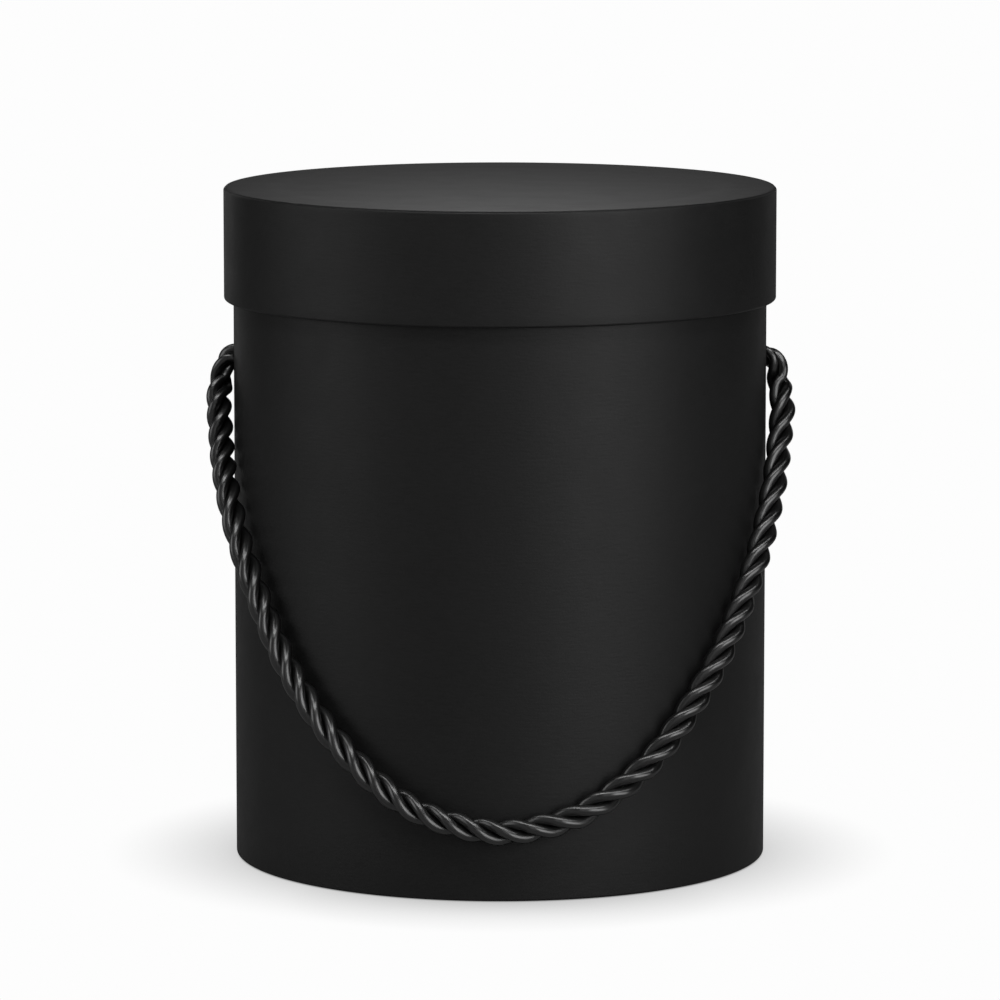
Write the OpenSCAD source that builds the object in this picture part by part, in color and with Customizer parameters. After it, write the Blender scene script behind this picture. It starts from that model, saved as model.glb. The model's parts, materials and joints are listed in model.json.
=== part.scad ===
// Round flower box: a covered greyboard box, a lid that telescopes over it, and a rope handle that
// hangs in front from two punched holes. The origin is the centre of the box's foot, +Z is up and
// the rope hangs on the -Y side.

/* [Box] */
// Outside diameter of the covered box
box_d = 200; // [120:1:320]
// Height of the covered box up to its rim
box_h = 250; // [230:1:400]

/* [Lid] */
// Height of the lid from its lower edge to its top
lid_h = 42; // [25:1:60]
// Free space all round between the box and the lid
lid_gap = 0.7; // [0.6:0.1:2.5]

/* [Board] */
// Thickness of the greyboard strip that is rolled into the box's side
side_board_t = 2; // [1:0.1:4]
// Thickness of the greyboard disc in the box's foot
base_board_t = 2; // [1:0.1:4]
// Thickness of the greyboard strip that is rolled into the lid's rim
rim_board_t = 2; // [1:0.1:3]
// Thickness of the greyboard disc in the lid's top
top_board_t = 2; // [1:0.1:4]
// Gap of the butt joint where a rolled strip's ends meet at the back
butt_gap = 0.4; // [0.2:0.1:1]
// Radius that the covered edges are softened to
edge_r = 0.9; // [0.6:0.1:1]

/* [Paper] */
// Thickness of the cover paper
cover_t = 0.25; // [0.15:0.05:0.4]
// Thickness of the lining paper
lining_t = 0.2; // [0.15:0.05:0.4]
// Thickness of the glue film round a curved board
glue_t = 0.05; // [0.03:0.01:0.1]
// How far the cover paper is turned over each edge
turn_in = 15; // [8:1:18]
// Width of the cover paper's glued overlap at the back
seam_w = 12; // [6:1:20]
// How far a paper disc or a lining stays back from the edge that it covers
paper_reveal = 1.5; // [1.2:0.1:3]
// Width over which a glued paper slopes up onto the paper under it
paper_slope = 0.8; // [0.5:0.1:1.5]

/* [Rope] */
// Diameter of the circle round the rope's strands
rope_d = 9.7; // [6:0.1:12]
// Drop from the lid's lower edge to the centres of the two rope holes
hole_drop = 21.7; // [12:0.1:40]
// Difference between a punched hole and the rope in it
hole_clearance = 1; // [0.8:0.1:3]
// Air between the hanging rope and the side of the box
rope_gap = 0.6; // [0.4:0.1:2]
// Diameter of the knot at each end of the rope
knot_d = 24; // [20:1:30]
// Air between a knot and the curved wall that it is pulled up to
knot_gap = 0.3; // [0.3:0.1:2]
// Length of the rope's free end beyond each knot
tail_l = 9; // [5:1:12]

/* [Hidden] */

$fn = 96;

// One overrun for all cuts
over = 1;

// Box, from the outside in
box_r = box_d / 2;
side_board_r = box_r - cover_t - glue_t;
side_in_r = side_board_r - side_board_t;
side_turn_r = side_in_r - glue_t - cover_t;
side_lining_r = side_in_r - glue_t - lining_t;
board_foot_z = 2 * cover_t;
board_rim_z = box_h - cover_t;
floor_z = board_foot_z + base_board_t;

// Lid, from the inside out
rim_lining_r = box_r + lid_gap;
rim_turn_r = rim_lining_r + lining_t + glue_t;
rim_in_r = rim_turn_r + cover_t + glue_t;
rim_board_r = rim_in_r + rim_board_t;
lid_r = rim_board_r + glue_t + cover_t;
lid_board_z = box_h + lining_t;
lid_board_top_z = lid_board_z + top_board_t;
lid_top_z = lid_board_top_z + 2 * cover_t;
lid_foot_z = lid_top_z - lid_h;
rim_foot_z = lid_foot_z + cover_t;

// A board's own corners are softened, and the paper over them follows
board_edge_r = edge_r - cover_t;
rim_edge_r = min(board_edge_r, side_board_t / 3);
lid_edge_r = min(board_edge_r, rim_board_t / 3);

// Slack of a disc in what it is pushed or glued into
disc_gap = 0.05;

// Rope
rope_r = rope_d / 2;
hole_z = lid_foot_z - hole_drop;
hole_r = (rope_d + hole_clearance) / 2;
knot_r = knot_d / 2;
knot_face_x = sqrt(side_lining_r * side_lining_r - knot_r * knot_r) - knot_gap;
bend_r = rope_r + rope_gap;

// The rope's route round the front of the box: the angle round the box from the left hole, the
// drop below the holes, and how much further than rope_gap it stands off the side.
rope_route = [
    [2.5, 14, 0], [6.5, 25.5, 0], [11.5, 38, 0], [17.5, 51, 0], [23.5, 64, 0], [29.5, 77, 0],
    [35.5, 91, 0], [41, 104, 0], [47, 116.5, 0], [53.5, 128.5, 0], [60.5, 139.5, 0],
    [67.5, 149, 0], [75, 156, 0], [82.5, 160, 0], [90, 162, 0], [97.5, 160.5, 0],
    [105, 157, 0], [112.5, 150, 0], [119.5, 141.5, 0], [126, 131, 0], [132.5, 118.5, 0],
    [138.5, 106.5, 0], [144.5, 93, 0], [150.5, 79.5, 0], [156.5, 66, 0], [162.5, 52.5, 0],
    [168.5, 38.5, 0.2], [173.5, 27, 0.4], [177.5, 15, 0.5]
];
rope_sides = 12;
bend_steps = 4;

function unit(v) = v / norm(v);

// A point of the rope on the side of the box
function on_side(row) =
    let (r = box_r + bend_r + row[2])
    [-r * cos(row[0]), -r * sin(row[0]), hole_z - row[1]];

// The rope leaves its hole level and turns down over the hole's edge
function bend(side) = [
    for (i = [0 : bend_steps])
        let (a = 90 * i / bend_steps)
        [side * (box_r + bend_r * sin(a)), 0, hole_z - bend_r * (1 - cos(a))]
];

function reversed(list) = [for (i = [len(list) - 1 : -1 : 0]) list[i]];

rope_points = concat(
    [[-knot_face_x, 0, hole_z]], bend(-1), [for (row = rope_route) on_side(row)],
    reversed(bend(1)), [[knot_face_x, 0, hole_z]]
);
rope_last = len(rope_points) - 1;

rope_tangents = [
    for (i = [0 : rope_last])
        i == 0 || i == rope_last ? [-1, 0, 0] : unit(rope_points[i + 1] - rope_points[i - 1])
];

// A direction square to the rope is carried along it, so that the tube doesn't twist
function carried(i = 1, found = [[0, 1, 0]]) =
    i > rope_last ? found
    : let (
        before = found[i - 1],
        along = rope_tangents[i],
        next = unit(before - (before * along) * along)
    )
    carried(i + 1, concat(found, [next]));

rope_normals = carried();

// The section of a wall: a square with some of its corners rounded, in the order lower inside,
// lower outside, upper outside, upper inside
module section(r_in, r_out, z_low, z_high, corner_r, rounded) {
    corners = [
        [r_in, z_low, 1, 1], [r_out, z_low, -1, 1], [r_out, z_high, -1, -1], [r_in, z_high, 1, -1]
    ];
    difference() {
        translate([r_in, z_low]) square([r_out - r_in, z_high - z_low]);
        for (i = [0 : 3])
            if (rounded[i])
                translate([corners[i][0], corners[i][1]])
                    scale([corners[i][2], corners[i][3]]) corner_waste(corner_r);
    }
}

// What rounding takes off a corner that lies at the origin
module corner_waste(r) {
    difference() {
        translate([-over, -over]) square(r + over);
        translate([r, r]) circle(r);
    }
}

// A paper that lies at one level and slopes to another: the points are [distance, level], and the
// paper's thickness is laid on along the level's direction.
module sloped_paper(points, t, upright) {
    outline = concat(
        points, reversed([for (p = points) upright ? [p[0] + t, p[1]] : [p[0], p[1] + t]])
    );
    polygon(outline);
}

// The slot of a butt joint at the back of a rolled strip
module butt_cut(r, z_low, z_high) {
    translate([-butt_gap / 2, 0, z_low - over])
        cube([butt_gap, r + over, z_high - z_low + 2 * over]);
}

// The glued overlap of a wrap: a second layer over seam_w at the back
module wrap_seam(r, z_low, z_high) {
    seam_angle = seam_w / r * 180 / PI;
    rotate([0, 0, 90 - seam_angle / 2])
        rotate_extrude(angle = seam_angle)
            translate([r - cover_t / 2, z_low]) square([3 / 2 * cover_t, z_high - z_low]);
}

// The pair of punched holes, through everything on the X axis
module rope_holes() {
    translate([0, 0, hole_z]) rotate([0, 90, 0])
        cylinder(r = hole_r, h = 2 * (box_r + over), center = true);
}

// Box

module base_board() {
    color("#8c8374")
        translate([0, 0, board_foot_z]) cylinder(r = side_in_r - disc_gap, h = base_board_t);
}

module side_board() {
    color("#8c8374") difference() {
        rotate_extrude()
            section(side_in_r, side_board_r, board_foot_z, board_rim_z, rim_edge_r, [0, 1, 1, 1]);
        butt_cut(side_board_r, board_foot_z, board_rim_z);
        rope_holes();
    }
}

// The cover paper runs from under the foot up the side, over the rim and down inside
module side_wrap() {
    glued_in_r = side_in_r - glue_t;
    glued_out_r = side_board_r + glue_t;
    glued_edge_r = rim_edge_r - glue_t;
    color("#1b1b1d") difference() {
        union() {
            rotate_extrude() difference() {
                union() {
                    section(side_turn_r, box_r, cover_t, box_h, rim_edge_r + cover_t, [0, 1, 1, 1]);
                    translate([box_r - turn_in, cover_t]) square([turn_in - edge_r, cover_t]);
                }
                section(
                    glued_in_r, glued_out_r, board_foot_z, board_rim_z, glued_edge_r, [0, 1, 1, 1]
                );
                translate([side_turn_r - over, board_foot_z])
                    square([glued_in_r - side_turn_r + over, box_h - turn_in - board_foot_z]);
            }
            wrap_seam(box_r, cover_t + edge_r, box_h - edge_r);
        }
        rope_holes();
    }
}

// The underside's paper disc, which the box stands on, hides the turned-under cover paper
module base_cover() {
    color("#1b1b1d") rotate_extrude()
        sloped_paper([
            [0, cover_t], [box_r - turn_in - paper_slope, cover_t], [box_r - turn_in, 0],
            [box_r - edge_r - paper_reveal, 0]
        ], cover_t, false);
}

// The lining runs up the side from the floor, over the turned-in cover paper, almost to the rim
module side_liner() {
    turn_z = box_h - turn_in;
    lining_high_r = side_turn_r - glue_t - lining_t;
    color("#242426") difference() {
        rotate_extrude()
            sloped_paper([
                [side_lining_r, floor_z], [side_lining_r, turn_z - paper_slope],
                [lining_high_r, turn_z], [lining_high_r, box_h - edge_r - paper_reveal]
            ], lining_t, true);
        rope_holes();
    }
}

module base_liner() {
    color("#242426")
        translate([0, 0, floor_z]) cylinder(r = side_lining_r - disc_gap, h = lining_t);
}

// Lid

module lid_rim_board() {
    color("#8c8374") difference() {
        rotate_extrude()
            section(rim_in_r, rim_board_r, rim_foot_z, lid_board_top_z, lid_edge_r, [1, 1, 1, 0]);
        butt_cut(rim_board_r, rim_foot_z, lid_board_top_z);
    }
}

module lid_top_board() {
    color("#8c8374")
        translate([0, 0, lid_board_z]) cylinder(r = rim_in_r - disc_gap, h = top_board_t);
}

// The cover paper runs from inside the rim, round its lower edge, up and over onto the top
module lid_rim_wrap() {
    glued_in_r = rim_in_r - glue_t;
    glued_out_r = rim_board_r + glue_t;
    glued_edge_r = lid_edge_r - glue_t;
    paper_top_z = lid_board_top_z + cover_t;
    color("#1b1b1d") rotate_extrude() difference() {
        union() {
            section(rim_turn_r, lid_r, lid_foot_z, paper_top_z, lid_edge_r + cover_t, [1, 1, 1, 0]);
            translate([lid_r - turn_in, lid_board_top_z]) square([turn_in - edge_r, cover_t]);
        }
        section(glued_in_r, glued_out_r, rim_foot_z, lid_board_top_z, glued_edge_r, [1, 1, 1, 0]);
        translate([rim_turn_r - over, lid_foot_z + turn_in])
            square([glued_in_r - rim_turn_r + over, lid_board_top_z - lid_foot_z - turn_in]);
    }
    color("#1b1b1d") wrap_seam(lid_r, lid_foot_z + edge_r, paper_top_z - edge_r);
}

module lid_top_cover() {
    color("#1b1b1d") rotate_extrude()
        sloped_paper([
            [0, lid_board_top_z], [lid_r - turn_in - paper_slope, lid_board_top_z],
            [lid_r - turn_in, lid_board_top_z + cover_t],
            [lid_r - edge_r, lid_board_top_z + cover_t]
        ], cover_t, false);
}

module lid_rim_liner() {
    turn_z = lid_foot_z + turn_in;
    lining_high_r = rim_in_r - glue_t - lining_t;
    color("#242426") rotate_extrude()
        sloped_paper([
            [rim_lining_r, lid_foot_z + edge_r + paper_reveal], [rim_lining_r, turn_z],
            [lining_high_r, turn_z + paper_slope], [lining_high_r, lid_board_z]
        ], lining_t, true);
}

module lid_top_liner() {
    color("#242426")
        translate([0, 0, box_h])
            cylinder(r = rim_in_r - glue_t - lining_t - disc_gap, h = lining_t);
}

// Handle

// The rope is one tube with straight ends, swept along its points
module rope_handle() {
    rings = [
        for (i = [0 : rope_last])
            let (n = rope_normals[i], b = cross(rope_tangents[i], n))
            for (j = [0 : rope_sides - 1])
                let (a = 360 * j / rope_sides)
                rope_points[i] + rope_r * (cos(a) * n + sin(a) * b)
    ];
    sides = [
        for (i = [0 : rope_last - 1], j = [0 : rope_sides - 1])
            let (
                here = i * rope_sides, ahead = here + rope_sides, k = (j + 1) % rope_sides
            )
            each [[here + j, ahead + j, here + k], [here + k, ahead + j, ahead + k]]
    ];
    ends = [
        [for (j = [0 : rope_sides - 1]) j],
        [for (j = [rope_sides - 1 : -1 : 0]) rope_last * rope_sides + j]
    ];
    color("#2c2c30") polyhedron(points = rings, faces = concat(sides, ends));
}

// Inside the wall each end is tied in an overhand knot, whose turns are drawn up tight side by
// side, and the end of the rope comes out of the middle
module knot(side) {
    turn_r = knot_r - rope_r;
    turn_x = [rope_r, 2 * rope_r + turn_r / 2];
    tail_x = turn_x[1] + rope_r + tail_l;
    translate([side * knot_face_x, 0, hole_z]) rotate([0, -side * 90, 0]) {
        for (x = turn_x)
            translate([0, 0, x]) rotate_extrude() translate([turn_r, 0]) circle(rope_r);
        cylinder(r = turn_r, h = turn_x[1] + rope_r / 2);
        rotate_extrude() section(0, rope_r, 0, tail_x, rope_r / 5, [0, 0, 1, 0]);
    }
}

module left_knot() { color("#2c2c30") knot(-1); }
module right_knot() { color("#2c2c30") knot(1); }

base_board();
side_board();
side_wrap();
base_cover();
side_liner();
base_liner();
lid_rim_board();
lid_top_board();
lid_rim_wrap();
lid_top_cover();
lid_rim_liner();
lid_top_liner();
rope_handle();
left_knot();
right_knot();
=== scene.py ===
import json
import math

import bmesh
import bpy
import numpy as np
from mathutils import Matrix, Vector


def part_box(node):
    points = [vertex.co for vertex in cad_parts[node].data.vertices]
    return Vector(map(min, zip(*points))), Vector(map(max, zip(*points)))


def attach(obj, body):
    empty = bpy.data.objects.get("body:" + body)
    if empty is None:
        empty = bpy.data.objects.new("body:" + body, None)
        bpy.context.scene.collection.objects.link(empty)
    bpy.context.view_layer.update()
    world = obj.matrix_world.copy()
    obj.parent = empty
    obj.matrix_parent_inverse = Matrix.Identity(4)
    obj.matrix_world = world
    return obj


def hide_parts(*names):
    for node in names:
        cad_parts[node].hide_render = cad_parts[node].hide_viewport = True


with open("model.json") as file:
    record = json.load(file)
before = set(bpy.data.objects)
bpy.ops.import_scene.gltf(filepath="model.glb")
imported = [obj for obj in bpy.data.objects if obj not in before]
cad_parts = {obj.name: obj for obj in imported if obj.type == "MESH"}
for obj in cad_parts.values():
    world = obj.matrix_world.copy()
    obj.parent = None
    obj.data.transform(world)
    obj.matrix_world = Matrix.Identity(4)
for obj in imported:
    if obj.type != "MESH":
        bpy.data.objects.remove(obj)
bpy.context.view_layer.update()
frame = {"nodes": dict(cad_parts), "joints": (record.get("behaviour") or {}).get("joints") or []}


# The viewpoint: a long lens well back from the box and a little above its lid, tipped down so that
# the lid's top shows as a narrow ellipse.
viewpoint = Vector((0, -2.2817, 0.4578))
tip_down = math.radians(8.081)
camera = bpy.data.objects.new("camera", bpy.data.cameras.new("camera"))
camera.data.sensor_width = 36
camera.data.lens = 219.9
camera.location = viewpoint
camera.rotation_euler = (math.pi / 2 - tip_down, 0, 0)
bpy.context.scene.collection.objects.link(camera)
bpy.context.scene.camera = camera


# The rope handle: three strands of black rayon yarn, laid up right-handed to just under 10 mm. It
# comes out of a punched hole on each side, turns down over the hole's edge and hangs in a U round
# the front. Its route is the one that the construction model follows.
box_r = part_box("side_wrap")[1].x
hole_z = next(joint["pos_m"][2] for joint in frame["joints"] if joint["name"] == "handle_swing")
knot_face_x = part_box("right_knot")[1].x
rope_d = 0.0097
rope_clear = 0.0006
bend_r = rope_d / 2 + rope_clear
hole_bend_out = 0.0047
hole_bend_down = 0.009
hole_squeeze = 0.87
strand_r = 0.00186
strand_centre_r = rope_d / 2 - strand_r
pressed = 0.42
line_step = 0.0006

# Angle round the box from the left hole, drop below the holes, extra distance from the side
rope_route = [
    (2.5, 0.014, 0), (6.5, 0.0255, 0), (11.5, 0.038, 0), (17.5, 0.051, 0), (23.5, 0.064, 0),
    (29.5, 0.077, 0), (35.5, 0.091, 0), (41, 0.104, 0), (47, 0.1165, 0), (53.5, 0.1285, 0),
    (60.5, 0.1395, 0), (67.5, 0.149, 0), (75, 0.156, 0), (82.5, 0.16, 0), (90, 0.162, 0),
    (97.5, 0.1605, 0), (105, 0.157, 0), (112.5, 0.15, 0), (119.5, 0.1415, 0), (126, 0.131, 0),
    (132.5, 0.1185, 0), (138.5, 0.1065, 0), (144.5, 0.093, 0), (150.5, 0.0795, 0),
    (156.5, 0.066, 0), (162.5, 0.0525, 0), (168.5, 0.0385, 0.0002), (173.5, 0.027, 0.0004),
    (177.5, 0.015, 0.0005),
]


def hole_bend(side):
    """A quarter of an ellipse over the hole's edge: box_r + out sin a, hole_z - down (1 - cos a)."""
    turned = np.radians(np.linspace(0, 90, 5))
    out = side * (box_r + hole_bend_out * np.sin(turned))
    return np.column_stack([out, 0 * turned, hole_z - hole_bend_down * (1 - np.cos(turned))])


def on_side(route):
    """Rows of angle, drop and extra distance as points on a cylinder round the box."""
    angle, drop, extra = np.array(route).T
    r = box_r + bend_r + extra
    angle = np.radians(angle)
    return np.column_stack([-r * np.cos(angle), -r * np.sin(angle), hole_z - drop])


def spline(places, values, at):
    """The natural cubic through values at places: its bends m solve, row by row,
    h0 m0 + 2 (h0 + h1) m1 + h1 m2 = 6 (slope1 - slope0), with no bend at either end."""
    places, values = np.asarray(places, float), np.asarray(values, float)
    values = values.reshape(len(places), -1)
    h = np.diff(places)
    slope = np.diff(values, axis=0) / h[:, None]
    system = np.diag(np.r_[1, 2 * (h[:-1] + h[1:]), 1])
    system += np.diag(np.r_[h[:-1], 0], -1) + np.diag(np.r_[0, h[1:]], 1)
    right = np.zeros_like(values)
    right[1:-1] = 6 * np.diff(slope, axis=0)
    bends = np.linalg.solve(system, right)
    i = np.clip(np.searchsorted(places, at) - 1, 0, len(h) - 1)
    before, after, gap = (at - places[i])[:, None], (places[i + 1] - at)[:, None], h[i][:, None]
    line = (values[i] * after + values[i + 1] * before) / gap
    curve = bends[i] * (after**3 / gap - gap * after) + bends[i + 1] * (before**3 / gap - gap * before)
    return line + curve / 6


def lengths_along(points):
    """How far along a line of points each one lies."""
    return np.r_[0, np.cumsum(np.linalg.norm(np.diff(points, axis=0), axis=1))]


def even_line(points, step):
    """The smooth line through points, at even steps of its own length."""
    chord = lengths_along(points)
    fine = spline(chord, points, np.linspace(0, chord[-1], 40 * len(points)))
    run = lengths_along(fine)
    at = np.linspace(0, run[-1], int(run[-1] / step) + 1)
    return at, np.column_stack([np.interp(at, run, fine[:, axis]) for axis in range(3)])


def unit(vectors):
    return vectors / np.linalg.norm(vectors, axis=-1, keepdims=True)


def grid_faces(rows, columns):
    """The four corners of each face of a grid of points that is numbered row by row, and whose last
    column joins the first."""
    i, j = np.meshgrid(np.arange(rows - 1), np.arange(columns), indexing="ij")
    k = (j + 1) % columns
    corners = [i * columns + j, (i + 1) * columns + j, (i + 1) * columns + k, i * columns + k]
    return np.stack(corners, -1).reshape(-1, 4)


def new_piece(name, points, faces, around=None):
    """A smooth mesh piece, creased where faces meet at more than 35 degrees. Its face corners' map is
    taken from around, one pair of metres a point."""
    mesh = bpy.data.meshes.new(name)
    mesh.from_pydata(points.tolist(), [], faces)
    if around is not None:
        corner_point = np.zeros(len(mesh.loops), int)
        mesh.loops.foreach_get("vertex_index", corner_point)
        mesh.uv_layers.new(name="map").data.foreach_set("uv", around[corner_point].ravel())
    mesh.polygons.foreach_set("use_smooth", np.ones(len(mesh.polygons), bool))
    mesh.set_sharp_from_angle(angle=math.radians(35))
    piece = bpy.data.objects.new(name, mesh)
    bpy.context.scene.collection.objects.link(piece)
    return piece


def laid_strands(line, inward, turn, swell, tip=1.0, sides=24):
    """Three tubes round a line. Strand k's centre lies swell strand_centre_r from the line, at the
    angle turn + 2 pi k / 3 from inward. Its section, square to its own run, has the radius
    swell tip strand_r (1 + pressed (0.5 - cos(a) / 2)^4) at the angle a from the rope's outside: the
    strands fill the rope's middle and press on each other there."""
    along = unit(np.gradient(line, axis=0))
    first = unit(inward - np.sum(inward * along, 1)[:, None] * along)
    second = np.cross(along, first)
    run = lengths_along(line)
    ring = np.linspace(0, 2 * np.pi, sides, endpoint=False)
    section = strand_r * (1 + pressed * (0.5 - np.cos(ring) / 2) ** 4)
    swell = np.broadcast_to(swell, len(line))[:, None]
    thick = swell * np.broadcast_to(tip, len(line))[:, None]
    points, faces, around = [], [], []
    for k in range(3):
        angle = (turn + 2 * np.pi * k / 3)[:, None]
        out = np.cos(angle) * first + np.sin(angle) * second
        centre = line + swell * strand_centre_r * out
        own = unit(np.gradient(centre, axis=0))
        out = unit(out - np.sum(out * own, 1)[:, None] * own)
        side = np.cross(own, out)
        spread = out[:, None] * np.cos(ring)[None, :, None] + side[:, None] * np.sin(ring)[None, :, None]
        tube = centre[:, None] + thick[:, None] * section[:, None] * spread
        start = sum(map(len, points))
        points.append(tube.reshape(-1, 3))
        faces += (grid_faces(len(line), sides) + start).tolist()
        faces.append([start + j for j in range(sides)])
        faces.append([start + (len(line) - 1) * sides + j for j in reversed(range(sides))])
        wide, long = np.meshgrid(ring * strand_r, run)
        around.append(np.column_stack([wide.ravel(), long.ravel()]))
    return np.vstack(points), faces, np.vstack(around)


ends = np.array([[-knot_face_x, 0, hole_z], [knot_face_x, 0, hole_z]])
rope_points = np.vstack(
    [ends[:1], hole_bend(-1), on_side(rope_route), hole_bend(1)[::-1], ends[1:]]
)
rope_run, rope_line = even_line(rope_points, line_step)

# How many strands have passed the rope's upper side by each distance: the lay is shorter by the holes
lay_counts = np.array([
    (0, -1.2), (0.0135, 0), (0.058, 5), (0.0923, 8), (0.1488, 13), (0.2053, 18), (0.2573, 23),
    (0.3098, 28), (0.3618, 33), (0.4133, 38), (0.4664, 43), (0.485, 45), (rope_run[-1], 46),
])
strands_passed = spline(lay_counts[:, 0], lay_counts[:, 1], rope_run)[:, 0]
rope_turn = 2 * np.pi / 3 * (strands_passed + 0.5)
towards_viewer = np.array([0, -1, 0])
rope_inward = np.cross(towards_viewer, np.gradient(rope_line, axis=0))

# The rope is squeezed for 12 mm from each end, and has its full thickness from 22 mm on
from_end = np.minimum(rope_run, rope_run[-1] - rope_run)
rope_swell = np.interp(from_end, (0.012, 0.022), (hole_squeeze, 1))
rope = new_piece("rope", *laid_strands(rope_line, rope_inward, rope_turn, rope_swell))


class Value:
    """A node's output that can stand in a sum: each operator adds the Math node that works it out."""

    def __init__(self, finish, socket):
        self.finish, self.socket = finish, socket

    def maths(self, operation, *numbers):
        return self.finish.node("ShaderNodeMath", {"operation": operation}, dict(enumerate(numbers)))

    def __add__(self, other):
        return self.maths("ADD", self, other)

    def __radd__(self, other):
        return self.maths("ADD", other, self)

    def __mul__(self, other):
        return self.maths("MULTIPLY", self, other)

    def __rmul__(self, other):
        return self.maths("MULTIPLY", other, self)


class Finish:
    """The nodes of a material or of the world."""

    def __init__(self, owner):
        owner.use_nodes = True
        self.owner, self.tree = owner, owner.node_tree

    def node(self, kind, settings=None, inputs=None, output=0):
        """Adds a node: its settings first, then its sockets' values or the outputs they take. It gives
        the output of this name or number."""
        made = self.tree.nodes.new(kind)
        for name, value in (settings or {}).items():
            setattr(made, name, value)
        for name, value in (inputs or {}).items():
            self.set(made.inputs[name], value)
        return Value(self, made.outputs[output])

    def set(self, socket, value):
        if isinstance(value, Value):
            self.tree.links.new(value.socket, socket)
        else:
            socket.default_value = value

    def surface(self, **inputs):
        """Sets the sockets of the material's Principled shader."""
        shader = self.tree.nodes["Principled BSDF"]
        for name, value in inputs.items():
            self.set(shader.inputs[name.replace("_", " ")], value)

    def grey(self, dark, light, share):
        """A colour between two greys, at a share that varies over the surface. The Mix node takes
        colours in its sockets 6 and 7, and gives them mixed as its output 2."""
        return self.node(
            "ShaderNodeMix", {"data_type": "RGBA"},
            {0: share, 6: (*dark, 1), 7: (*light, 1)}, output=2,
        )


# Rayon yarn: near black, smooth and bright along each strand's crest, with its fine yarns lying
# at a slant across the strand.
def rope_finish():
    finish = Finish(bpy.data.materials.new("black rayon"))
    yarns, yarn_slant = 16, 260
    place = finish.node("ShaderNodeUVMap", {"uv_map": "map"})
    across = finish.node("ShaderNodeSeparateXYZ", inputs={0: place}, output="X")
    along = finish.node("ShaderNodeSeparateXYZ", inputs={0: place}, output="Y")
    turns = across * (yarns / strand_r) + along * yarn_slant * 2 * math.pi
    ridge = turns.maths("SINE", turns)
    wander = finish.node("ShaderNodeTexNoise", inputs={"Vector": place, "Scale": 250.0})
    bump = finish.node(
        "ShaderNodeBump", inputs={"Strength": 0.03, "Distance": 0.0001, "Height": ridge}
    )
    finish.surface(
        Base_Color=finish.grey((0.002,) * 3, (0.005,) * 3, wander),
        Roughness=0.27 + wander * 0.04, Normal=bump, Specular_IOR_Level=0.85,
    )
    return finish.owner


rope.data.materials.append(rope_finish())
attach(rope, "handle")
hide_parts("rope_handle")


# The knots: the rope's ends, each drawn up by hand into a tight overhand knot against the inside of
# the wall, so that the rope can't pull out. The rope is squeezed in it, and ends in a short tail.
knot_rope_d = 0.007
knot_swell = 0.8
knot_squeeze_run = 0.006
knot_tail = 0.006


def drawn_up_knot(thick, reach, points=110, rounds=250, held=60, settles=16):
    """The centreline of an overhand knot of a rope of this thickness, between ends reach apart.
    It starts as the wide curve (t^5 - 10 t, t^3 - 3 t, t^4 - 4 t^2), which is knotted, and its links
    are shortened round by round, and then held. In each round the links keep their length, any two
    stretches closer than the thickness push each other apart, and the line is smoothed and drawn to
    the middle a little."""
    smoothing, centring = 0.1, 0.05
    t = np.linspace(-2.05, 2.05, 2000)
    wide = np.column_stack([0.5 * (t**5 - 10 * t), 3 * (t**3 - 3 * t), t**4 - 4 * t**2])
    run = lengths_along(wide)
    at = np.linspace(0, run[-1], points)
    line = np.column_stack([np.interp(at, run, wide[:, axis]) for axis in range(3)])
    loose, tight = 68 * thick, reach + 10.1 * thick
    line *= loose / run[-1]
    line -= (line[0] + line[-1]) / 2
    way = line[-1] - line[0]
    far = np.linalg.norm(way)
    way = way / far
    low, high = np.triu_indices(points, 2)
    for share in np.r_[np.linspace(0, 1, rounds), np.ones(held)]:
        link = loose ** (1 - share) * tight**share / (points - 1)
        apart = far ** (1 - share) * reach**share
        distant = (high - low) * link > 1.5 * thick
        i, j = low[distant], high[distant]
        for settle in range(settles):
            line[0], line[-1] = -way * apart / 2, way * apart / 2
            for first in (0, 1):
                gap = line[first + 1 :: 2] - line[first:-1:2]
                mend = (1 - link / np.linalg.norm(gap, axis=1, keepdims=True)) * gap / 2
                line[first:-1:2] += mend
                line[first + 1 :: 2] -= mend
            gap = line[j] - line[i]
            length = np.linalg.norm(gap, axis=1)
            near = length < thick
            push = (thick / length[near] - 1)[:, None] * gap[near] / 4
            np.add.at(line, j[near], push)
            np.add.at(line, i[near], -push)
            line[1:-1] += smoothing * (line[:-2] + line[2:] - 2 * line[1:-1])
            middle = line[points // 3 : -(points // 3)].mean(0)
            line[1:-1] -= centring * (middle - (middle @ way) * way)
    across = unit(np.cross(way, (0, 0, 1)))
    return line @ np.column_stack([way, across, np.cross(way, across)])


def carried_side(line, side):
    """The side direction at each point, turned with the line and never about it."""
    along = unit(np.gradient(line, axis=0))
    sides = [np.asarray(side, float)]
    for step in along[1:]:
        sides.append(unit(sides[-1] - (sides[-1] @ step) * step))
    return np.array(sides)


knot_line = drawn_up_knot(knot_rope_d, 10 * knot_rope_d)
turned_back = np.diff(knot_line[:, 0]) < 0
knot_line[:, 0] -= knot_line[:-1, 0][turned_back].min() - knot_rope_d / 2
knot_end = knot_line[:-1, 0][turned_back].max() + knot_rope_d / 2 + knot_tail
knot_line = knot_line[(knot_line[:, 0] > 0) & (knot_line[:, 0] < knot_end)]
knot_line[0, 0] = 0
knot_run, knot_line = even_line(knot_line, line_step)

# The knots take the lay, in radians a metre, that the rope has a little way from its end
lay = (rope_turn[60] - rope_turn[40]) / (rope_run[60] - rope_run[40])
squeeze = np.interp(knot_run, (0, knot_squeeze_run), (hole_squeeze, knot_swell))

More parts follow.
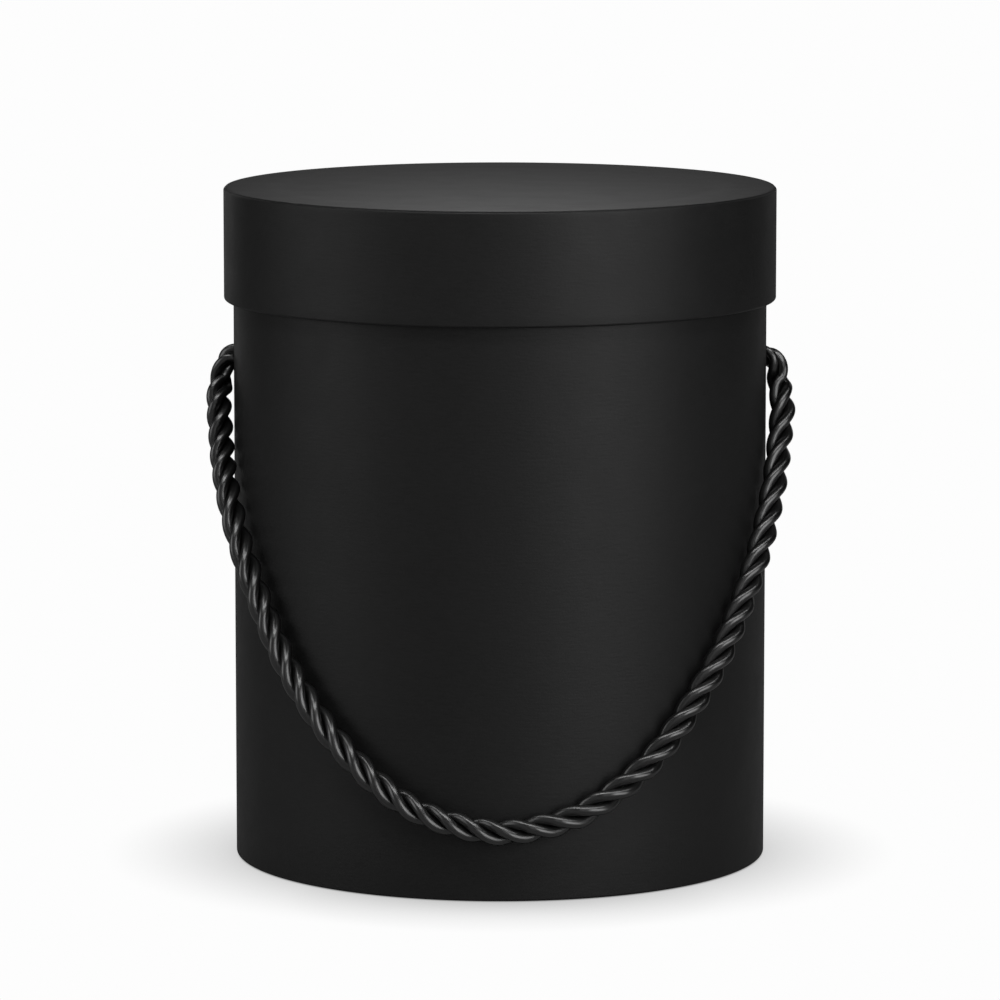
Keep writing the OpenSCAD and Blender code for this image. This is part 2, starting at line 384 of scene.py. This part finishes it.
# Each strand is rounded off at the cut, from its full radius to 0.3 of it, so to 0.09 of its square
to_cut = np.clip((knot_run[-1] - knot_run) / (0.7 * strand_r), 0, 1)
cut_end = np.sqrt(0.09 + 0.91 * (1 - (1 - to_cut) ** 2))
for name, side, start_turn in (("left", -1, -rope_turn[0]), ("right", 1, rope_turn[-1])):
    inside = np.array([-side, -side, 1]) * knot_line
    inside += [side * knot_face_x, 0, hole_z]
    strands = laid_strands(
        inside, carried_side(inside, (0, 0, -1)), start_turn + lay * knot_run, squeeze, cut_end
    )
    knot = new_piece(name + "_overhand_knot", *strands)
    knot.data.materials.append(rope.data.materials[0])
    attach(knot, "handle")
    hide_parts(name + "_knot")


# The side's cover paper: one sheet of matte black paper, glued round the board tube. It starts under
# the foot, runs up and over the rim and 15 mm down inside, and overlaps itself at the back. The two
# rope holes are punched through it.
box_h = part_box("side_wrap")[1].z
cover_t = 0.00025
glue_t = 0.00005
board_t = 0.002
turn_in = 0.015
edge_r = 0.0009
seam_w = 0.012
seam_rise = 0.0015
cut_edge_w = 0.00004
hole_r = (rope_d + 0.001) / 2

# Half the side of the square of paper that is drawn in spokes round each hole
hole_field = 0.009
hole_spokes = 64


def corner(centre, radius, start, stop, steps=8):
    """An arc of a sheet's outline, as [distance, height] rows from one angle to another."""
    angle = np.radians(np.linspace(start, stop, steps + 1))
    return np.column_stack([centre[0] + radius * np.cos(angle), centre[1] + radius * np.sin(angle)])


def upright(r, z_from, z_to, rows):
    """A straight stretch of a wall, with a row at each given height that it passes."""
    inside = [z for z in rows if min(z_from, z_to) < z < max(z_from, z_to)]
    heights = np.sort(np.r_[z_from, inside, z_to])
    heights = heights if z_to > z_from else heights[::-1]
    return np.column_stack([np.full(len(heights), r), heights])


def level(z, r_from, r_to, steps=6):
    """A flat stretch of a disc."""
    return np.column_stack([np.linspace(r_from, r_to, steps + 1), np.full(steps + 1, z)])


def outline(*stretches):
    """The stretches joined, without the points that two of them share."""
    line = np.vstack(stretches)
    apart = np.r_[True, np.linalg.norm(np.diff(line, axis=0), axis=1) > 1e-8]
    return line[apart]


def left_of(line):
    """The direction to the left of a line at each point, stretched at corners as a mitre is."""
    ahead = unit(np.diff(line, axis=0))
    before, after = np.vstack([ahead[:1], ahead]), np.vstack([ahead, ahead[-1:]])
    mean = unit(before + after)
    stretch = 1 / np.maximum(0.5, np.sum(mean * after, 1))
    return np.column_stack([-mean[:, 1], mean[:, 0]]) * stretch[:, None]


def spread_of_field():
    """Where the spokes of a hole's field meet the straight side of its square: field tan a."""
    angle = 2 * np.pi * np.arange(-hole_spokes // 8, hole_spokes // 8 + 1) / hole_spokes
    return hole_field * np.tan(angle)


def paper(name, face_line, thickness, seam=None, holes=False):
    """A sheet of paper turned about the box's axis. face_line is its visible face, which lies to the
    right of the line, and its back lies a thickness to the left. seam gives how far the face stands
    out at each angle, and each hole is a square field of the sheet that is drawn round a circle."""
    back_line = face_line + thickness * left_of(face_line)
    loop = np.vstack([face_line, back_line[::-1]])
    loop[:, 0] = np.maximum(loop[:, 0], 0)
    stands_out = np.zeros(len(loop))
    stands_out[: len(face_line)] = np.maximum(0, -left_of(face_line)[:, 0])
    wall_r = face_line[:, 0].max()
    angles = np.linspace(0, 2 * np.pi, 360, endpoint=False)
    if seam is not None:
        angles = np.union1d(angles, seam[0])
    if holes:
        for middle in (0, np.pi):
            apart = np.abs((angles - middle + np.pi) % (2 * np.pi) - np.pi)
            angles = angles[apart > hole_field / wall_r + 1e-6]
            angles = np.r_[angles, (middle + spread_of_field() / wall_r) % (2 * np.pi)]
        angles = np.sort(angles)
    out = np.zeros(len(angles)) if seam is None else np.interp(angles, *seam)
    r = loop[None, :, 0] + out[:, None] * stands_out[None, :]
    points = np.stack([
        r * np.cos(angles)[:, None], r * np.sin(angles)[:, None],
        np.broadcast_to(loop[None, :, 1], r.shape),
    ], -1)
    rows, columns = points.shape[:2]
    run = lengths_along(np.vstack([loop, loop[:1]]))[:-1]
    around = np.stack(np.broadcast_arrays(wall_r * angles[:, None], run[None, :]), -1)
    closed = np.vstack([points, points[:1]])
    closed_around = np.vstack([around, around[:1] + [2 * np.pi * wall_r, 0]])
    faces = grid_faces(rows + 1, columns)
    all_points, all_around = closed.reshape(-1, 3), closed_around.reshape(-1, 2)
    if holes:
        corners = all_points[faces]
        height = corners[..., 2].mean(1) - hole_z
        width = np.abs(corners[..., 1].mean(1))
        in_field = (np.abs(height) < hole_field) & (width < hole_field * 0.999)
        in_field &= np.abs(corners[..., 0].mean(1)) > hole_field
        faces = faces[~in_field]
        all_points, all_around, faces = punch(
            all_points, all_around, faces, wall_r, back_line, face_line
        )
    piece = new_piece(name, all_points, faces.tolist(), all_around)
    weld(piece)
    return piece


def punch(points, around, faces, wall_r, back_line, face_line):
    """Fills each hole's square field with rings that go from the square to the circle, on the face
    and on the back, and joins the two circles by the cut edge."""
    spoke = 2 * np.pi * np.arange(hole_spokes) / hole_spokes
    round_edge = np.column_stack([np.cos(spoke), np.sin(spoke)])
    square = hole_field * round_edge / np.abs(round_edge).max(1)[:, None]
    share = np.linspace(0, 1, 7)[:, None, None] ** 1.5
    flat = (1 - share) * hole_r * round_edge + share * square
    rings = flat.shape[0]
    face_r = face_line[np.abs(face_line[:, 1] - hole_z).argmin(), 0]
    back_r = back_line[np.abs(back_line[:, 1] - hole_z).argmin(), 0]
    for middle in (0, np.pi):
        starts = []
        for r in (face_r, back_r):
            angle = middle + flat[..., 0] / wall_r
            height = hole_z + flat[..., 1]
            patch = np.stack([r * np.cos(angle), r * np.sin(angle), height], -1).reshape(-1, 3)
            starts.append(len(points))
            faces = np.vstack([faces, grid_faces(rings, hole_spokes) + len(points)])
            points = np.vstack([points, patch])
            around = np.vstack([around, np.stack([wall_r * angle, height], -1).reshape(-1, 2)])
        ahead = (np.arange(hole_spokes) + 1) % hole_spokes
        here = np.arange(hole_spokes)
        edge = [starts[0] + here, starts[0] + ahead, starts[1] + ahead, starts[1] + here]
        faces = np.vstack([faces, np.column_stack(edge)])
    return points, around, faces


def weld(piece):
    """Joins points that coincide, drops faces without area, turns all faces outwards and creases
    the piece where they meet at more than 30 degrees."""
    working = bmesh.new()
    working.from_mesh(piece.data)
    bmesh.ops.remove_doubles(working, verts=working.verts, dist=1e-7)
    bmesh.ops.dissolve_degenerate(working, edges=working.edges, dist=1e-8)
    bmesh.ops.recalc_face_normals(working, faces=working.faces)
    working.to_mesh(piece.data)
    working.free()
    piece.data.set_sharp_from_angle(angle=math.radians(30))


def glued_seam(r, thickness):
    """How far a glued overlap stands out: a cut edge on one side, and on the other a rise to it."""
    middle, half = np.pi / 2, seam_w / r / 2
    step, climb = cut_edge_w / r, seam_rise / r
    places = [middle - half, middle - half + step, middle + half, middle + half + climb]
    return places, [0, thickness, thickness, 0]


# The heights at which a wall has a row of points, with those of the holes' spokes among them
hole_rows = hole_z + spread_of_field()
wall_rows = np.r_[np.arange(0.02, 0.18, 0.02), 0.178, hole_rows, 0.2, 0.22]
foot_z = cover_t
inner_corner_r = box_r - board_t - glue_t - 2 * cover_t + edge_r
side_line = outline(
    level(foot_z, box_r - turn_in, box_r - edge_r),
    corner((box_r - edge_r, foot_z + edge_r), edge_r, -90, 0),
    upright(box_r, foot_z + edge_r, box_h - edge_r, wall_rows),
    corner((box_r - edge_r, box_h - edge_r), edge_r, 0, 90),
    corner((inner_corner_r, box_h - edge_r), edge_r, 90, 180),
    upright(inner_corner_r - edge_r, box_h - edge_r, box_h - turn_in, []),
)
side_paper = paper(
    "side_paper", side_line, cover_t, seam=glued_seam(box_r, cover_t), holes=True
)


# Cover paper: uncoated, dyed through, with fine fibres that lie mostly level round the side, and a
# soft cloudiness in how much light it takes.
def paper_finish(name, dark, light, rough, grain):
    """Noise for the fibres, as fine along each axis as grain says, with speckle and cloudiness."""
    finish = Finish(bpy.data.materials.new(name))
    place = finish.node("ShaderNodeTexCoord", output="Object")
    stretched = finish.node("ShaderNodeMapping", inputs={"Vector": place, "Scale": grain})
    fibres = finish.node(
        "ShaderNodeTexNoise", inputs={"Vector": stretched, "Scale": 1.0, "Detail": 3.0}
    )
    speckle = finish.node(
        "ShaderNodeTexNoise", inputs={"Vector": place, "Scale": 1200.0, "Detail": 2.0}
    )
    cloud = finish.node(
        "ShaderNodeTexNoise", inputs={"Vector": place, "Scale": 60.0, "Detail": 6.0}
    )
    height = fibres * 0.4 + speckle * 0.2
    bump = finish.node(
        "ShaderNodeBump", inputs={"Strength": 0.5, "Distance": 0.0002, "Height": height}
    )
    finish.surface(
        Base_Color=finish.grey(dark, light, fibres * 0.6 + speckle * 0.4),
        Roughness=rough + cloud * 0.15 + fibres * 0.05, Normal=bump, Specular_IOR_Level=0.25,
    )
    return finish.owner


cover_finish = paper_finish(
    "black cover paper", (0.003,) * 3, (0.009,) * 3, 0.4, (250.0, 250.0, 1200.0)
)
side_paper.data.materials.append(cover_finish)
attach(side_paper, "box")
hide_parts("side_wrap")


# The underside's paper disc: it hides the turned-under edge of the side's paper, and the box stands
# on the ring where it lies on that paper.
step_w = 0.0008
set_back = 0.0015
foot_line = outline(
    level(cover_t, 0, box_r - turn_in - step_w),
    level(0, box_r - turn_in, box_r - edge_r - set_back, 10),
)
foot_paper = paper("foot_paper", foot_line, cover_t)
foot_paper.data.materials.append(cover_finish)
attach(foot_paper, "box")
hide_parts("base_cover")


# The side's lining: black lining paper, glued in after the cover paper is turned in, so that it
# steps over that paper and stops just short of the rim.
lining_t = 0.0002
floor_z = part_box("base_liner")[0].z
wall_in_r = box_r - cover_t - glue_t - board_t
lining_r = wall_in_r - glue_t - lining_t
lining_high_r = lining_r - cover_t - glue_t
lining_line = outline(
    upright(lining_high_r, box_h - edge_r - set_back, box_h - turn_in, []),
    upright(lining_r, box_h - turn_in - step_w, floor_z, wall_rows),
)
side_lining = paper("side_lining", lining_line, lining_t, holes=True)
lining_finish = paper_finish(
    "black lining paper", (0.012,) * 3, (0.022,) * 3, 0.5, (250.0, 250.0, 1200.0)
)
side_lining.data.materials.append(lining_finish)
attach(side_lining, "box")
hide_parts("side_liner")


# The floor's lining: a disc of the same paper, glued down on the base board just inside the side's
# lining.
disc_gap = 0.00005
floor_line = level(floor_z + lining_t, lining_r - disc_gap, 0)
floor_lining = paper("floor_lining", floor_line, lining_t)
floor_lining.data.materials.append(lining_finish)
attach(floor_lining, "box")
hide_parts("base_liner")


# The lid's rim paper: from 15 mm up inside the rim, round its lower edge, up the outside and over
# onto the top.
lid_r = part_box("lid_rim_wrap")[1].x
lid_foot_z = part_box("lid_rim_wrap")[0].z
lid_paper_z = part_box("lid_rim_wrap")[1].z
lid_in_r = lid_r - 2 * cover_t - 2 * glue_t - board_t
lid_line = outline(
    upright(lid_in_r, lid_foot_z + turn_in, lid_foot_z + edge_r, []),
    corner((lid_in_r + edge_r, lid_foot_z + edge_r), edge_r, 180, 270),
    corner((lid_r - edge_r, lid_foot_z + edge_r), edge_r, 270, 360),
    upright(lid_r, lid_foot_z + edge_r, lid_paper_z - edge_r, np.arange(0.215, 0.25, 0.005)),
    corner((lid_r - edge_r, lid_paper_z - edge_r), edge_r, 0, 90),
    level(lid_paper_z, lid_r - edge_r, lid_r - turn_in),
)
lid_paper = paper("lid_paper", lid_line, cover_t, seam=glued_seam(lid_r, cover_t))
lid_paper.data.materials.append(cover_finish)
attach(lid_paper, "lid")
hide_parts("lid_rim_wrap")


# The lid's top paper: a disc cut to the top's size, pressed down at its edge, and glued over the
# turned-over paper, from which it slopes down softly to the board.
top_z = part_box("lid_top_cover")[1].z
pressed_t = 0.00004
slope_w = 0.01
slope = np.linspace(0, 1, 17)
sloping = [lid_r - turn_in - slope_w * slope, top_z - cover_t * slope**2 * (3 - 2 * slope)]
top_line = outline(
    corner((lid_r - edge_r, lid_paper_z - pressed_t), cover_t + pressed_t, 0, 90, 4),
    level(top_z, lid_r - edge_r, lid_r - turn_in, 10),
    np.column_stack(sloping),
    level(top_z - cover_t, lid_r - turn_in - slope_w, 0),
)
top_paper = paper("top_paper", top_line, cover_t)
top_finish = paper_finish(
    "black top paper", (0.003,) * 3, (0.009,) * 3, 0.4, (250.0, 1200.0, 250.0)
)
top_paper.data.materials.append(top_finish)
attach(top_paper, "lid")
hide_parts("lid_top_cover")


# The lid's linings: a strip inside the rim that steps over the turned-in cover paper, and a disc
# under the top, which rests on the box's rim.
lid_play = 0.0007
lid_lining_r = box_r + lid_play
lid_board_r = lid_in_r + cover_t + glue_t
lid_lining_high_r = lid_board_r - glue_t - lining_t
lid_lining_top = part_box("lid_rim_liner")[1].z
rim_lining_line = outline(
    upright(lid_lining_high_r, lid_lining_top, lid_foot_z + turn_in + step_w, []),
    upright(lid_lining_r, lid_foot_z + turn_in, lid_foot_z + edge_r + set_back, []),
)
rim_lining = paper("lid_rim_lining", rim_lining_line, lining_t)
top_lining = paper(
    "lid_top_lining", level(box_h, 0, lid_lining_high_r - disc_gap), lining_t
)
for piece, node in ((rim_lining, "lid_rim_liner"), (top_lining, "lid_top_liner")):
    piece.data.materials.append(lining_finish)
    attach(piece, "lid")
    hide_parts(node)


# The boards: grey pulp board that the papers hide, bare only at the edges of the punched holes. They
# are the construction model's own solids.
def board_finish():
    finish = Finish(bpy.data.materials.new("greyboard"))
    place = finish.node("ShaderNodeTexCoord", output="Object")
    fleck = finish.node(
        "ShaderNodeTexNoise", inputs={"Vector": place, "Scale": 1500.0, "Detail": 4.0}
    )
    bump = finish.node(
        "ShaderNodeBump", inputs={"Strength": 0.4, "Distance": 0.0002, "Height": fleck}
    )
    finish.surface(
        Base_Color=finish.grey((0.1, 0.09, 0.075), (0.24, 0.22, 0.19), fleck),
        Roughness=0.9, Normal=bump,
    )
    return finish.owner


board = board_finish()
for node in ("base_board", "side_board", "lid_rim_board", "lid_top_board"):
    frame["nodes"][node].data.materials.clear()
    frame["nodes"][node].data.materials.append(board)


# The table: a wide white surface with the box's shadow painted into its glow. The glow is darker where
# ambient occlusion finds the box close. Only a ray straight from the camera or through glass sees it
# white: for any other it is a grey that throws little light back.
background = 0.982
shadow_reach = 0.052
shadow_dark = 0.3
thrown_back = 0.3
table_half = 4.0
table = new_piece(
    "table",
    table_half * np.array([(-1, -1, 0), (1, -1, 0), (1, 1, 0), (-1, 1, 0)], float),
    [(0, 1, 2, 3)],
)


def table_finish():
    finish = Finish(bpy.data.materials.new("white table"))
    seen = finish.node("ShaderNodeLightPath", output="Is Camera Ray")
    seen_through = finish.node("ShaderNodeLightPath", output="Is Transmission Ray")
    # Painted shadow: the white glow dims towards shade where the box is within shadow_reach
    open_sky = finish.node(
        "ShaderNodeAmbientOcclusion", {"samples": 16}, {"Distance": shadow_reach}, output="AO"
    )
    white = finish.node("ShaderNodeEmission", inputs={"Strength": background})
    shade = finish.node("ShaderNodeEmission", inputs={"Strength": background * shadow_dark})
    painted_shadow = finish.node("ShaderNodeMixShader", inputs={0: open_sky, 1: shade, 2: white})
    grey = (thrown_back, thrown_back, thrown_back, 1)
    diffuse = finish.node("ShaderNodeBsdfDiffuse", inputs={"Color": grey})
    mixed = finish.node(
        "ShaderNodeMixShader", inputs={0: seen + seen_through, 1: diffuse, 2: painted_shadow}
    )
    finish.set(finish.tree.nodes["Material Output"].inputs["Surface"], mixed)
    return finish.owner


table.data.materials.append(table_finish())


# The light: tall soft boxes all round that draw the upright highlights, long strips high in front that
# draw a line of light along the rope's strands, and a small lamp close behind the lid. The room is
# dark, but a ray straight from the camera or through glass sees it white.
def room():
    world = bpy.data.worlds.new("room")
    bpy.context.scene.world = world
    finish = Finish(world)
    seen = finish.node("ShaderNodeLightPath", output="Is Camera Ray")
    seen_through = finish.node("ShaderNodeLightPath", output="Is Transmission Ray")
    wall = finish.tree.nodes["Background"]
    finish.set(wall.inputs["Color"], (1, 1, 1, 1))
    finish.set(wall.inputs["Strength"], (seen + seen_through) * background)


room()


def softbox(name, azimuth, elevation, distance, size, brightness, height=0.13):
    """A rectangular lamp of an even brightness, where 1 is white, aimed at a point of the box's
    axis. Its azimuth is measured from the front to the right."""
    lamp = bpy.data.lights.new(name, "AREA")
    lamp.shape = "RECTANGLE"
    lamp.size, lamp.size_y = size
    lamp.energy = math.pi * size[0] * size[1] * brightness
    holder = bpy.data.objects.new(name, lamp)
    turn, lift = math.radians(azimuth), math.radians(elevation)
    towards = Vector((math.sin(turn) * math.cos(lift), -math.cos(turn) * math.cos(lift), math.sin(lift)))
    holder.location = Vector((0, 0, height)) + distance * towards
    holder.rotation_euler = towards.to_track_quat("Z", "Y").to_euler()
    holder.visible_camera = False
    bpy.context.scene.collection.objects.link(holder)


# Azimuth and brightness of each tall box
for azimuth, brightness in (
    (-30, 0.4), (0, 0.9), (30, 4.4), (45, 3.2), (60, 3), (150, 0.3), (180, 0.15), (-150, 0.6),
    (-90, 1.1), (-75, 2.2), (-60, 1.5),
):
    softbox(
        "tall box", azimuth, elevation=12, distance=1.6, size=(0.4, 1), brightness=brightness
    )
for azimuth in (-50, 0, 50):
    softbox("high strip", azimuth, elevation=60, distance=1.6, size=(2, 0.2), brightness=5.8)
softbox(
    "behind the lid", 180, elevation=50, distance=0.35, size=(0.15, 0.15), brightness=4.6, height=0.25
)

bpy.context.scene.view_settings.view_transform = "Standard"
